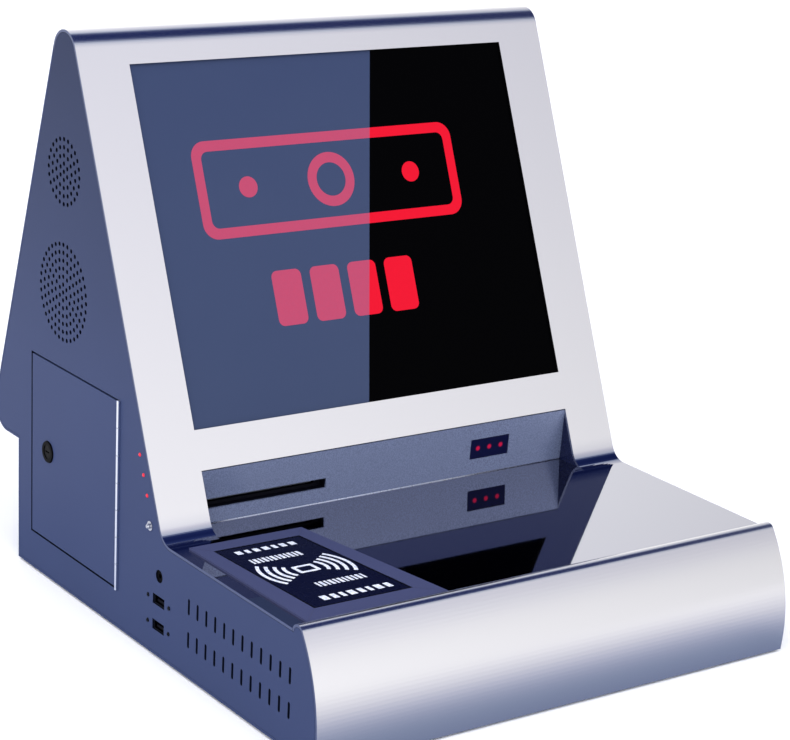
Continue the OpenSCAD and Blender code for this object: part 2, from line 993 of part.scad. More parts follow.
module validator_head() {
    side = note_wall + 0.3;
    color([0.28, 0.3, 0.34])
        difference() {
            box([note_x0 + side, chassis_y + 0.4, slot_z + 1.3],
                [note_x1 - side, chassis_y + note_len - 0.4, slot_z + 19.5]);
            box([note_x0 + side + 2, chassis_y + 3, slot_z + 4],
                [note_x1 - side - 2, chassis_y + note_len - 3, slot_z + 17]);
        }
}

// Feed shaft with its toothed-belt pulley at the left end
module feed_shaft(y, x1) {
    color(zinc) {
        rod_x(shaft_r, note_x0 - 6.5, x1, y, shaft_z);
        rod_x(pulley_r, note_x0 - 5.5, note_x0 - 1, y, shaft_z);
        rod_x(pulley_r + 1.2, note_x0 - 6, note_x0 - 5.4, y, shaft_z);
    }
}

// Three rubber rollers on a shaft
module feed_rollers(y) {
    color([0.15, 0.15, 0.16])
        for (i = [-1 : 1])
            difference() {
                rod_x(roller_r, slot_x + i * 30 - 5, slot_x + i * 30 + 5, y, shaft_z);
                rod_x(shaft_r + 0.01, slot_x + i * 30 - 6, slot_x + i * 30 + 6, y, shaft_z);
            }
}

module feed_shaft_front() {
    feed_shaft(shaft_ys[0], note_x1 + 2);
}

module feed_rollers_front() {
    feed_rollers(shaft_ys[0]);
}

module feed_shaft_rear() {
    feed_shaft(shaft_ys[1], note_x1 + 7);
}

module feed_rollers_rear() {
    feed_rollers(shaft_ys[1]);
}

// Flat loop round the two pulleys
module belt_loop(r) {
    for (y = shaft_ys)
        translate([y, shaft_z])
            circle(r = r);
    translate([shaft_ys[0], shaft_z - r])
        square([shaft_ys[1] - shaft_ys[0], 2 * r]);
}

module feed_belt() {
    inner = pulley_r + run_clear;
    color(graphite)
        across(note_x0 - 5, note_x0 - 1.5)
            difference() {
                belt_loop(inner + 1);
                belt_loop(inner);
            }
}

module feed_motor() {
    color(zinc)
        difference() {
            union() {
                rod_x(11, note_x1 + 0.2, note_x1 + 26, shaft_ys[1], shaft_z);
                rod_x(4, note_x1 + 26, note_x1 + 28, shaft_ys[1], shaft_z);
            }
            rod_x(shaft_r + run_clear, note_x1 - 1, note_x1 + 8, shaft_ys[1], shaft_z);
        }
}

// Open-topped cash box with the note mouth in its front wall
module cash_cassette() {
    w = cassette_wall;
    y1 = cassette_y + cassette_d;
    top = cassette_z + cassette_h;
    color([0.24, 0.26, 0.3])
        difference() {
            box([note_x0, cassette_y, cassette_z], [note_x1, y1, top]);
            box([note_x0 + w, cassette_y + w, cassette_z + w], [note_x1 - w, y1 - w, top + 1]);
            box([slot_x - 46, cassette_y - 1, slot_z - 3], [slot_x + 46, cassette_y + w + 1, slot_z + 3]);
        }
}

module cassette_lid() {
    w = cassette_wall + 0.2;
    y1 = cassette_y + cassette_d;
    top = cassette_z + cassette_h;
    color([0.3, 0.32, 0.36])
        difference() {
            union() {
                box([note_x0, cassette_y, top + 0.1], [note_x1, y1, top + 2.6]);
                box([slot_x - 25, cassette_y + 50, top + 2.5], [slot_x + 25, cassette_y + 53, top + 12]);
                box([slot_x - 25, cassette_y + 65, top + 2.5], [slot_x + 25, cassette_y + 68, top + 12]);
            }
            box([note_x0 + w + 6, cassette_y + w + 6, top - 1], [note_x1 - w - 6, y1 - w - 6, top + 1.1]);
        }
}

module stacker_plate() {
    color(zinc) {
        box([slot_x - 40, cassette_y + 12, stacker_z], [slot_x + 40, cassette_y + cassette_d - 12, stacker_z + 3]);
        translate([slot_x, cassette_y + cassette_d / 2, stacker_z + 2.9])
            cylinder(r = 6, h = 6);
    }
}

module bill_platform() {
    w = cassette_wall + 1;
    color([0.5, 0.52, 0.55])
        box([note_x0 + w, cassette_y + w, platform_z],
            [note_x1 - w, cassette_y + cassette_d - w, platform_z + platform_t]);
}

spring_r = 18;
spring_wire = 1.1;
spring_turns = 6;

// Coil between the cassette floor and the platform
module platform_spring() {
    z0 = cassette_z + cassette_wall + 0.2;
    color(zinc)
        translate([slot_x, cassette_y + cassette_d / 2, z0])
            linear_extrude(platform_z - 0.2 - z0, twist = -360 * spring_turns, slices = 20 * spring_turns, $fn = 10)
                translate([spring_r, 0])
                    circle(r = spring_wire, $fn = 10);
}

// ---------- computer and power ----------

board_x = -20;
board_y = -150;
board_side = 170;
board_z = 12;
hole_inset = 6.5;

module mainboard() {
    top = board_z + 1.6;
    x1 = board_x + board_side;
    y1 = board_y + board_side;
    color(board_green)
        difference() {
            union() {
                box([board_x, board_y, board_z], [x1, y1, top]);
                box([board_x + 66, board_y + 66, top], [board_x + 104, board_y + 104, top + 3]);
                box([board_x + 15, board_y + 20, top], [board_x + 23, board_y + 150, top + 9]);
                box([board_x + 30, board_y + 20, top], [board_x + 38, board_y + 150, top + 9]);
                box([board_x + 150, board_y + 60, top], [board_x + 160, board_y + 110, top + 12]);
                for (i = [0 : 3])
                    box([board_x + 50 + i * 26, y1 - 16, top], [board_x + 68 + i * 26, y1, top + 14]);
            }
            for (x = [board_x + hole_inset, x1 - hole_inset])
                for (y = [board_y + hole_inset, y1 - hole_inset])
                    translate([x, y, board_z - 1])
                        cylinder(r = 1.7, h = 5);
        }
}

module board_standoffs() {
    x1 = board_x + board_side;
    y1 = board_y + board_side;
    color([0.75, 0.6, 0.3])
        for (x = [board_x + hole_inset, x1 - hole_inset])
            for (y = [board_y + hole_inset, y1 - hole_inset])
                translate([x, y, floor_top]) {
                    cylinder(r = 3, h = board_z - floor_top, $fn = 6);
                    cylinder(r = 1.5, h = board_z - floor_top + 1.6);
                    translate([0, 0, board_z - floor_top + 1.6])
                        cylinder(r = 3, h = 2);
                }
}

module heatsink() {
    x = board_x + 50;
    y = board_y + 50;
    z = board_z + 1.6 + 3;
    color(zinc)
        union() {
            box([x, y, z], [x + 70, y + 70, z + 4]);
            for (i = [0 : 13])
                box([x + i * 5.3, y, z + 3.9], [x + i * 5.3 + 1.1, y + 70, z + 30]);
        }
}

module storage_drive() {
    color([0.25, 0.26, 0.28])
        union() {
            box([-160, -190, floor_top + 1], [-60, -120.1, floor_top + 8]);
            for (x = [-150, -70])
                for (y = [-180, -130])
                    translate([x, y, floor_top])
                        cylinder(r = 3, h = 2);
        }
}

module power_supply() {
    color(zinc)
        difference() {
            box([92, 58, floor_top], [200, 170, floor_top + 62]);
            box([93.5, 59.5, floor_top + 1.5], [198.5, 168.5, floor_top + 60.5]);
            for (i = [0 : 8])
                box([102 + i * 11, 57, floor_top + 15], [106 + i * 11, 60, floor_top + 48]);
            translate([146, 114, floor_top + 50])
                for (ring = [0 : 3])
                    for (i = [0 : max(0, 6 * ring - 1)])
                        rotate(i * 60 / max(1, ring))
                            translate([ring * 8, 0, 0])
                                cylinder(r = 2.6, h = 20, $fn = 24);
        }
}

// Mains inlet and network socket on the lower back wall
module rear_connectors() {
    y0 = lower_back_y - sheet - 20;
    color(graphite) {
        difference() {
            union() {
                box([inlet_at[0] - inlet_cut[0] / 2 + 0.2, y0, inlet_at[1] - inlet_cut[1] / 2 + 0.2],
                    [inlet_at[0] + inlet_cut[0] / 2 - 0.2, lower_back_y, inlet_at[1] + inlet_cut[1] / 2 - 0.2]);
                box([inlet_at[0] - 25, lower_back_y, inlet_at[1] - 12],
                    [inlet_at[0] + 25, lower_back_y + 2.5, inlet_at[1] + 12]);
            }
            box([inlet_at[0] - 12, y0 + 3, inlet_at[1] - 7.5], [inlet_at[0] + 12, lower_back_y + 5, inlet_at[1] + 7.5]);
        }
        for (i = [-1 : 1])
            box([inlet_at[0] + i * 7 - 1, y0 + 2, inlet_at[1] - 2 + (i == 0 ? 2 : 0)],
                [inlet_at[0] + i * 7 + 1, y0 + 17, inlet_at[1] + 2 + (i == 0 ? 2 : 0)]);
        difference() {
            box([lan_at[0] - lan_cut[0] / 2 + 0.2, y0, lan_at[1] - lan_cut[1] / 2 + 0.2],
                [lan_at[0] + lan_cut[0] / 2 - 0.2, lower_back_y + 0.6, lan_at[1] + lan_cut[1] / 2 - 0.2]);
            box([lan_at[0] - 6, y0 + 4, lan_at[1] - 5], [lan_at[0] + 6, lower_back_y + 2, lan_at[1] + 4]);
        }
        switch_housing();
    }
}

rocker_tilt = 8;
rocker_half = [7.9, 5];
rocker_pin_r = 1.2;
rocker_y = lower_back_y - 4;

// Open box that the rocker of the mains switch turns in
module switch_housing() {
    half = switch_cut / 2 - [0.2, 0.2];
    inside = rocker_half + [0.2, 1];
    translate([switch_at[0], 0, switch_at[1]])
        difference() {
            union() {
                box([-half[0], lower_back_y - 22, -half[1]], [half[0], lower_back_y, half[1]]);
                box([-half[0] - 2, lower_back_y, -half[1] - 2], [half[0] + 2, lower_back_y + 1.2, half[1] + 2]);
            }
            box([-inside[0], lower_back_y - 10, -inside[1]], [inside[0], lower_back_y + 3, inside[1]]);
            rod_x(rocker_pin_r + run_clear, -half[0] - 1, half[0] + 1, rocker_y, 0);
        }
}

// Rocker of the mains switch, at rest pressed in at its lower end
module power_switch() {
    color(graphite)
        translate([switch_at[0], rocker_y, switch_at[1]])
            rotate([-rocker_tilt, 0, 0]) {
                difference() {
                    intersection() {
                        rod_x(9, -rocker_half[0], rocker_half[0], 0, 0);
                        box([-20, -3, -rocker_half[1]], [20, 20, rocker_half[1]]);
                    }
                    rod_x(7, -20, 20, 13.2, 0);
                }
                rod_x(rocker_pin_r, -rocker_half[0] - 1.2, rocker_half[0] + 1.2, 0, 0);
            }
}

side_panel_left();
side_panel_right();
front_shell();
recess_wall();
front_apron();
rear_cover();
rear_panel();
base_plate();
rubber_feet();
chassis_rails();
screen_gasket();
screen_glass();
lcd_panel();
lcd_brackets();
lcd_driver_board();
sensor_window();
sensor_leds();
sensor_board();
reader_bezel();
reader_face();
reader_board();
speaker_left();
speaker_right();
fan_frame();
fan_rotor();
status_leds();
status_led_board();
power_button();
button_bushing();
headphone_jack();
usb_ports();
usb_inserts();
panel_screws();
service_door();
door_hinge_leaf();
hinge_pin();
lock_barrel();
lock_nut();
lock_cam();
validator_throat();
validator_chassis();
validator_head();
feed_shaft_front();
feed_rollers_front();
feed_shaft_rear();
feed_rollers_rear();
feed_belt();
feed_motor();
cash_cassette();
cassette_lid();
stacker_plate();
bill_platform();
platform_spring();
mainboard();
heatsink();
board_standoffs();
storage_drive();
power_supply();
rear_connectors();
power_switch();
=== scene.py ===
"""Looks of the countertop banknote terminal: materials, printed graphics, light and camera."""

import json
import math
from itertools import cycle

import bmesh
import bpy
from mathutils import Matrix, Vector


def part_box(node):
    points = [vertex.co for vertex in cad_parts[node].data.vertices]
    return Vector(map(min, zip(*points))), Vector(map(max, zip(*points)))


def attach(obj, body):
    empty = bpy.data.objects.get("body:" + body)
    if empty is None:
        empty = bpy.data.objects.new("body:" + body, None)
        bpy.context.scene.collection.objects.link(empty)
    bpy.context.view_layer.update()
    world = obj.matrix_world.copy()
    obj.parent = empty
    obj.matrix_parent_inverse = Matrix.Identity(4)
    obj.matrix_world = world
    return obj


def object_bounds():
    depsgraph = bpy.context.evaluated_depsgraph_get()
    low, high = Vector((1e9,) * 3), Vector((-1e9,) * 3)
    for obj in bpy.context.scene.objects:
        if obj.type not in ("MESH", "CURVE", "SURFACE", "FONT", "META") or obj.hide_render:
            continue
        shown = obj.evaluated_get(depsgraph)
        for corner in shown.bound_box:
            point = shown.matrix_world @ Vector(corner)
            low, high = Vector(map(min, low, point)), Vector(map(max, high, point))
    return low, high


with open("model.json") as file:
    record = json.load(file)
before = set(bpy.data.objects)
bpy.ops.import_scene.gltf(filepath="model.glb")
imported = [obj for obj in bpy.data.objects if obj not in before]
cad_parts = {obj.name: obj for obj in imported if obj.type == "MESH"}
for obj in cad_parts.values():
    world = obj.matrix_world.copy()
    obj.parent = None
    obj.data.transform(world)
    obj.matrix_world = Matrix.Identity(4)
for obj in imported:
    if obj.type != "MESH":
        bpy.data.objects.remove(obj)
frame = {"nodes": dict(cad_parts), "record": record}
cad_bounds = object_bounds()
NODES = frame["nodes"]
MM = 0.001
NOISE_LOW = 0.3  # nearly all of a noise's values lie between these two
NOISE_HIGH = 0.7


# ---------- colours ----------


def srgb(red, green, blue):
    """Linear colour from 0-255 display values."""

    def linear(value):
        value /= 255
        return value / 12.92 if value <= 0.04045 else ((value + 0.055) / 1.055) ** 2.4

    return (linear(red), linear(green), linear(blue), 1.0)


def scaled(colour, factor):
    """The colour made lighter or darker."""
    return (*[min(1.0, channel * factor) for channel in colour[:3]], 1.0)


PANEL_BLUE = srgb(54, 64, 97)
STEEL = srgb(205, 204, 210)
DECK_STEEL = srgb(176, 176, 188)
RECESS_STEEL = srgb(98, 108, 137)
# painted shade on the cheeks at the ends of the recess
CHEEK_SHADE_NAVY = srgb(20, 26, 62)
BARE_METAL = srgb(226, 230, 244)
NAVY_BLACK = srgb(9, 10, 20)
LENS_NAVY = srgb(6, 10, 46)
LAMP_RED = srgb(200, 14, 44)
SCREEN_BLACK = srgb(1, 1, 2)
MARK_RED = srgb(240, 4, 44)
# pink of the lit red under the screen's painted reflection
MARK_PINK_UNDER_SHEEN = srgb(190, 80, 118)


# ---------- shader helpers ----------


class Nodes:
    """Shader nodes of one tree, linked as they are made."""

    COLOUR_A = 6  # the Mix node's first and second colour, and its result
    COLOUR_B = 7
    MIXED_COLOUR = 2

    def __init__(self, tree, coordinates):
        self.tree = tree
        self.place = self.new("TexCoord").outputs[coordinates]

    def new(self, kind):
        return self.tree.nodes.new("ShaderNode" + kind)

    def link(self, source, target):
        self.tree.links.new(source, target)

    def feed(self, socket, value):
        """A constant stays on the socket, a node output is linked to it."""
        if isinstance(value, bpy.types.NodeSocket):
            self.link(value, socket)
        else:
            socket.default_value = value

    def axis(self, name):
        """One coordinate of the place."""
        node = self.new("SeparateXYZ")
        self.link(self.place, node.inputs[0])
        return node.outputs[name]

    def math(self, operation, *values):
        node = self.new("Math")
        node.operation = operation
        for socket, value in zip(node.inputs, values):
            self.feed(socket, value)
        return node.outputs[0]

    def blend(self, factor, first, second, blend_type="MIX"):
        """Colour between first and second."""
        node = self.new("Mix")
        node.data_type = "RGBA"
        node.blend_type = blend_type
        self.feed(node.inputs["Factor"], factor)
        self.feed(node.inputs[self.COLOUR_A], first)
        self.feed(node.inputs[self.COLOUR_B], second)
        return node.outputs[self.MIXED_COLOUR]

    def ramp(self, value, stops):
        """Colour that runs through (position, colour) stops as the value grows."""
        node = self.new("ValToRGB")
        self.link(value, node.inputs[0])
        elements = node.color_ramp.elements
        while len(elements) < len(stops):
            elements.new(1.0)
        for element, (position, colour) in zip(elements, stops):
            element.position = position
            element.color = colour
        return node.outputs[0]


class Shader(Nodes):
    """One Principled material whose patterns are placed in metres on the object."""

    def __init__(self, name, colour, roughness, metallic=0.0):
        self.material = bpy.data.materials.new(name)
        self.material.use_nodes = True
        self.material.diffuse_color = colour
        self.material.node_tree.nodes.clear()
        super().__init__(self.material.node_tree, "Object")
        self.output = self.new("OutputMaterial")
        self.principled = self.new("BsdfPrincipled")
        self.link(self.principled.outputs[0], self.output.inputs["Surface"])
        self.set("Base Color", colour)
        self.set("Roughness", roughness)
        self.set("Metallic", metallic)

    def set(self, socket, value):
        self.feed(self.principled.inputs[socket], value)

    def source(self, socket):
        """The node output that feeds one of the material's sockets now."""
        return self.principled.inputs[socket].links[0].from_socket

    def tint(self, factor, first, second):
        """Base colour between first and second."""
        self.set("Base Color", self.blend(factor, first, second))

    def roughen(self, pattern, least, most):
        """Roughness that follows a pattern."""
        self.set("Roughness", self.span(pattern, NOISE_LOW, NOISE_HIGH, least, most))

    def bump(self, height, strength, depth):
        node = self.new("Bump")
        node.inputs["Strength"].default_value = strength
        node.inputs["Distance"].default_value = depth
        self.link(height, node.inputs["Height"])
        self.set("Normal", node.outputs[0])

    def stretched(self, factors):
        """Place scaled along each axis, for grain that runs one way."""
        mapping = self.new("Mapping")
        mapping.inputs["Scale"].default_value = factors
        self.link(self.place, mapping.inputs["Vector"])
        return mapping.outputs[0]

    def noise(self, size, detail=3.0, stretch=None):
        """Noise whose features are about size metres across."""
        node = self.new("TexNoise")
        node.inputs["Scale"].default_value = 1 / size
        node.inputs["Detail"].default_value = detail
        self.link(self.stretched(stretch) if stretch else self.place, node.inputs["Vector"])
        return node.outputs["Fac"]

    def cells(self, size):
        """Distance to the middle of cells about size metres across."""
        node = self.new("TexVoronoi")
        node.inputs["Scale"].default_value = 1 / size
        self.link(self.place, node.inputs["Vector"])
        return node.outputs["Distance"]

    def along(self, direction):
        """Distance along a direction, in metres."""
        node = self.new("VectorMath")
        node.operation = "DOT_PRODUCT"
        node.inputs[1].default_value = direction
        self.link(self.place, node.inputs[0])
        return node.outputs["Value"]

    def span(self, value, start, end, low=0.0, high=1.0, smooth=False):
        """Value between start and end becomes low to high."""
        node = self.new("MapRange")
        node.interpolation_type = "SMOOTHSTEP" if smooth else "LINEAR"
        ends = {"From Min": start, "From Max": end, "To Min": low, "To Max": high}
        for socket, number in ends.items():
            node.inputs[socket].default_value = number
        self.link(value, node.inputs["Value"])
        return node.outputs["Result"]

    def wider_than(self, half):
        """1 where the surface lies further than half from the middle plane, 0 elsewhere."""
        return self.math("GREATER_THAN", self.math("ABSOLUTE", self.axis("X")), half)


# ---------- places taken from the frame ----------


def face_plane(node, towards):
    """Corners of the node's largest flat face that looks towards a direction, and its normal."""
    least_cosine = 0.8
    same_level = 0.02 * MM
    mesh = NODES[node].data
    direction = Vector(towards).normalized()
    facing = [p for p in mesh.polygons if p.normal.dot(direction) > least_cosine]
    largest = max(facing, key=lambda p: p.area)
    normal = largest.normal.copy()
    level = mesh.vertices[largest.vertices[0]].co.dot(normal)
    points = [mesh.vertices[i].co.copy() for p in facing for i in p.vertices]
    return [p for p in points if abs(p.dot(normal) - level) < same_level], normal


half_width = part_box("front_shell")[1].x
deck_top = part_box("reader_face")[0].z

glass_points, glass_normal = face_plane("screen_glass", (0, -1, 0.4))
glass_up = glass_normal.cross(Vector((1, 0, 0))).normalized()
glass_foot = min(p.dot(glass_up) for p in glass_points)
glass_head = max(p.dot(glass_up) for p in glass_points)
glass_level = glass_points[0].dot(glass_normal)
glass_middle = glass_up * (glass_foot + glass_head) / 2 + glass_normal * glass_level

SHEET_END = 0.03 * MM  # how near the cabinet's side a surface lies to be a sheet's cut end


# ---------- materials ----------


def polished_steel(name, deck_polish=False):
    """Polished sheet with painted cut ends. The deck is a mirror, the frame above it is satin."""
    satin = 0.2
    mirror = 0.03
    painted_end = 0.45
    deck_blend = (1.5 * MM, 20 * MM)  # height over the deck where mirror gives way to satin
    shader = Shader(name, STEEL, satin, metallic=1.0)
    cloud = shader.noise(60 * MM, detail=2.0)
    grain = shader.noise(0.45 * MM, detail=4.0)
    steel = shader.blend(shader.span(grain, 0.35, 0.7), scaled(STEEL, 0.96), STEEL)
    rough = shader.span(grain, NOISE_LOW, NOISE_HIGH, satin - 0.03, satin + 0.04)
    if deck_polish:
        start, end = [deck_top + lift for lift in deck_blend]
        height = shader.span(shader.axis("Z"), start, end, smooth=True)
        steel = shader.blend(height, DECK_STEEL, steel)
        fine = shader.span(grain, NOISE_LOW, NOISE_HIGH, mirror * 0.6, mirror * 1.4)
        satin_share = shader.math("MULTIPLY", rough, height)
        mirror_share = shader.math("MULTIPLY", fine, shader.math("SUBTRACT", 1.0, height))
        rough = shader.math("ADD", satin_share, mirror_share)
    cut_end = shader.wider_than(half_width - SHEET_END)
    face = shader.math("SUBTRACT", 1.0, cut_end)
    paint = shader.blend(cloud, scaled(PANEL_BLUE, 1.1), scaled(PANEL_BLUE, 1.3))
    shader.tint(cut_end, steel, paint)
    shader.set("Metallic", face)
    rough_face = shader.math("MULTIPLY", rough, face)
    rough_end = shader.math("MULTIPLY", cut_end, painted_end)
    shader.set("Roughness", shader.math("ADD", rough_face, rough_end))
    shader.bump(grain, strength=0.01, depth=0.05 * MM)
    return shader.material


def recess_sheet(name):
    """Speckled satin wall that faintly mirrors its two cheeks, which are dark navy as painted
    shade.
    """
    roughness = 0.26
    cheek_inset = 1.55 * MM
    shader = Shader(name, RECESS_STEEL, roughness, metallic=0.2)
    speck = shader.noise(0.9 * MM)
    cloud = shader.noise(40 * MM, detail=2.0)
    tone = shader.blend(cloud, scaled(RECESS_STEEL, 0.92), scaled(RECESS_STEEL, 1.06))
    wall = shader.blend(shader.span(speck, 0.4, 0.8, 0.0, 0.5), tone, scaled(RECESS_STEEL, 1.6))
    # painted shade: the cheeks at the ends of the recess are dark navy
    cheek = shader.wider_than(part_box("recess_wall")[1].x - cheek_inset)
    shader.tint(cheek, wall, CHEEK_SHADE_NAVY)
    shader.roughen(speck, roughness - 0.05, roughness + 0.08)
    shader.bump(speck, strength=0.05, depth=0.05 * MM)
    return shader.material


def powder_paint(name, colour, roughness=0.42):
    """Shader of satin paint with a faint orange peel and slow changes of tone."""
    shader = Shader(name, colour, roughness)
    cloud = shader.noise(90 * MM, detail=2.0)
    speck = shader.noise(0.7 * MM, detail=2.0)
    tone = shader.blend(cloud, scaled(colour, 0.95), scaled(colour, 1.05))
    shader.tint(shader.span(speck, 0.35, 0.75, 0.0, 0.35), tone, scaled(colour, 1.35))
    shader.roughen(speck, roughness - 0.05, roughness + 0.07)
    shader.set("Specular IOR Level", 0.05)
    shader.bump(shader.noise(1.1 * MM, detail=2.0), strength=0.1, depth=0.06 * MM)
    return shader


def shaded_side_panel_paint(node, colour):
    """Paint of a side panel, with painted shade: deeper towards the top, and dark in its holes
    and inside.
    """
    shader = powder_paint(node, colour)
    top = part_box(node)[1].z
    # painted shade: the paint darkens towards the top of the panel
    height = shader.span(shader.axis("Z"), 0.4 * top, top)
    paint = shader.blend(height, shader.source("Base Color"), scaled(colour, 0.62))
    # painted shade: the walls of the holes and the inside of the panel are near black
    shader.tint(shader.wider_than(half_width - SHEET_END), scaled(colour, 0.12), paint)
    return shader.material


def painted_hinge(name, colour):
    """The panel's paint, with bright bare metal along the crown of the hinge knuckles as a
    painted highlight.
    """
    crown = 1.3 * MM
    shader = powder_paint(name, colour)
    pin_low, pin_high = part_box("hinge_pin")
    off_axis = shader.math("SUBTRACT", shader.axis("Y"), (pin_low.y + pin_high.y) / 2)
    # painted highlight: a strip of bright metal along the knuckles' crown stands for the hinge's
    # highlight line
    bare = shader.math("LESS_THAN", shader.math("ABSOLUTE", off_axis), crown)
    shader.tint(bare, shader.source("Base Color"), BARE_METAL)
    shader.set("Metallic", bare)
    return shader.material


def moulded_plastic(name, colour, roughness=0.5, specular=0.5):
    """Plastic from an etched mould."""
    shader = Shader(name, colour, roughness)
    shader.tint(shader.noise(25 * MM), scaled(colour, 0.9), scaled(colour, 1.15))
    shader.roughen(shader.noise(4 * MM), roughness - 0.06, roughness + 0.06)
    shader.set("Specular IOR Level", specular)
    shader.bump(shader.cells(0.5 * MM), strength=0.15, depth=0.05 * MM)
    return shader.material


def metal(name, colour, roughness, grain_size=0.4 * MM, stretch=None):
    """Bare or plated metal with fine tool marks."""
    shader = Shader(name, colour, roughness, metallic=1.0)
    marks = shader.noise(grain_size, detail=4.0, stretch=stretch)
    tone = shader.blend(shader.cells(9 * MM), scaled(colour, 0.9), colour)
    scratches = shader.span(marks, NOISE_LOW, NOISE_HIGH, 0.0, 0.25)
    shader.tint(scratches, tone, scaled(colour, 0.8))
    shader.roughen(marks, roughness - 0.05, roughness + 0.08)
    shader.bump(marks, strength=0.08, depth=0.04 * MM)
    return shader.material


def rubber(name, colour):
    """Matte rubber with a dusty bloom."""
    shader = Shader(name, colour, 0.75)
    bloom = shader.span(shader.noise(6 * MM), 0.45, 0.75)
    shader.tint(bloom, colour, scaled(colour, 2.2))
    shader.roughen(shader.noise(1.5 * MM), 0.68, 0.85)
    shader.bump(shader.noise(0.4 * MM), strength=0.25, depth=0.08 * MM)
    return shader.material


def circuit_board(name, colour):
    """Green solder mask over two crossing sets of tracks."""
    track_width = 1.6 * MM
    long_way = 0.12
    shader = Shader(name, colour, 0.35)
    sets = []
    for stretch in ((long_way, 1, 1), (1, long_way, 1)):
        tracks = shader.noise(track_width, detail=0.0, stretch=stretch)
        sets.append(shader.span(tracks, 0.48, 0.52))
    both = shader.math("MULTIPLY", *sets)
    shader.tint(both, scaled(colour, 0.7), scaled(colour, 1.6))
    shader.set("Roughness", shader.span(both, 0.0, 1.0, 0.3, 0.42))
    shader.bump(both, strength=0.3, depth=0.04 * MM)
    return shader.material


def lamp(name, colour, glow):
    """Lens that shines a little, brighter in its middle cells."""
    shader = Shader(name, colour, 0.25)
    facets = shader.span(shader.cells(0.6 * MM), 0.1, 0.7, 1.0, 0.55)
    shader.tint(facets, scaled(colour, 0.6), colour)
    shader.set("Emission Color", shader.blend(facets, scaled(colour, 0.5), colour))
    shader.set("Emission Strength", glow)
    shader.bump(facets, strength=0.2, depth=0.05 * MM)
    return shader.material


def sensor_lens(name):
    """Dark blue lens with the glow of the three lamps behind it."""
    bright_within, dark_beyond = 0.9 * MM, 2.6 * MM
    shader = Shader(name, LENS_NAVY, 0.2)
    low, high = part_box("sensor_leds")
    radius = (high.z - low.z) / 2
    glow = 0.0
    for share in (0.0, 0.5, 1.0):
        across = low.x + radius + share * (high.x - low.x - 2 * radius)
        squares = []
        for axis, middle in (("X", across), ("Z", (low.z + high.z) / 2)):
            offset = shader.math("SUBTRACT", shader.axis(axis), middle)
            squares.append(shader.math("POWER", offset, 2.0))
        distance = shader.math("SQRT", shader.math("ADD", *squares))
        spot = shader.span(distance, bright_within, dark_beyond, 1.0, 0.0, smooth=True)
        glow = shader.math("ADD", glow, spot)
    shader.tint(shader.noise(5 * MM), scaled(LENS_NAVY, 0.8), scaled(LENS_NAVY, 1.3))
    shader.set("Emission Color", LAMP_RED)
    shader.set("Emission Strength", shader.math("MULTIPLY", glow, 0.9))
    shader.roughen(shader.noise(2 * MM), 0.15, 0.25)
    shader.set("Specular IOR Level", 0.05)
    return shader.material


# The sheen is a painted reflection of a bright panel, laid into the screen's colour
SHEEN_AT = 15.3 * MM  # where the edge of the sheen crosses the screen's middle height
SHEEN_SLOPE = 0.2148  # how far that edge leans to the right for each unit up the glass
SHEEN_BLUR = 0.2 * MM


def up_the_glass(shader):
    """Distance up the screen from its middle, in metres."""
    return shader.math("SUBTRACT", shader.along(glass_up), glass_middle.dot(glass_up))


def painted_sheen_mask(shader):
    """1 on the left part of the screen that carries the painted reflection, 0 on the dark right
    part.
    """
    lean = shader.math("MULTIPLY", up_the_glass(shader), SHEEN_SLOPE)
    across = shader.math("SUBTRACT", shader.axis("X"), lean)
    return shader.span(across, SHEEN_AT - SHEEN_BLUR, SHEEN_AT + SHEEN_BLUR, 1.0, 0.0)


def screen_material(name):
    """Black glass with a painted reflection, a slate sheen, over its left part."""
    half_height = 135 * MM
    shader = Shader(name, SCREEN_BLACK, 0.1)
    height = shader.span(up_the_glass(shader), -half_height, half_height)
    cloud = shader.math("MULTIPLY", shader.noise(120 * MM, detail=2.0), 0.5)
    tone = shader.math("ADD", cloud, shader.math("MULTIPLY", height, 0.5))
    # painted reflection: slate over the left part, a little lighter towards the bottom
    slate = shader.blend(tone, srgb(58, 68, 94), srgb(50, 60, 89))
    shader.tint(painted_sheen_mask(shader), SCREEN_BLACK, slate)
    smear = shader.noise(30 * MM, detail=4.0, stretch=(1, 0.4, 0.4))
    shader.set("Roughness", shader.span(smear, 0.35, 0.7, 0.06, 0.14))
    shader.set("Specular IOR Level", 0.01)
    return shader.material


MATERIALS = {
    "cabinet_sheet": powder_paint("panel_paint", PANEL_BLUE).material,
    "polished_sheet": polished_steel("polished_steel"),
    "recess_sheet": recess_sheet("recess_steel"),
    "zinc_steel": metal("zinc_plate", srgb(196, 198, 204), 0.35),
    "chrome_trim": metal("chrome", srgb(206, 208, 216), 0.3, grain_size=0.8 * MM),
    "rubber_black": rubber("black_rubber", srgb(26, 26, 29)),
    "screen_glass": screen_material("screen_face"),
    "lcd_case": metal("lcd_frame", srgb(150, 152, 158), 0.4),
    "circuit_board": circuit_board("solder_mask", srgb(24, 92, 50)),
    "sensor_lens": sensor_lens("sensor_lens"),
    "red_lamp": lamp("red_lens", LAMP_RED, glow=0.6),
    "reader_frame": powder_paint("reader_frame", srgb(63, 68, 101), 0.5).material,
    "reader_window": moulded_plastic("reader_window", srgb(5, 8, 36), 0.3, specular=0.05),
    "black_plastic": moulded_plastic("black_plastic", NAVY_BLACK, 0.6, specular=0.08),
    "black_steel": metal("black_steel", srgb(26, 27, 32), 0.4),
    "grey_plastic": moulded_plastic("grey_plastic", srgb(92, 97, 108)),
    "bare_aluminium": metal("aluminium", srgb(206, 208, 212), 0.3, 0.3 * MM, (1, 1, 0.05)),
    "brass_parts": metal("brass", srgb(198, 160, 82), 0.28),
}

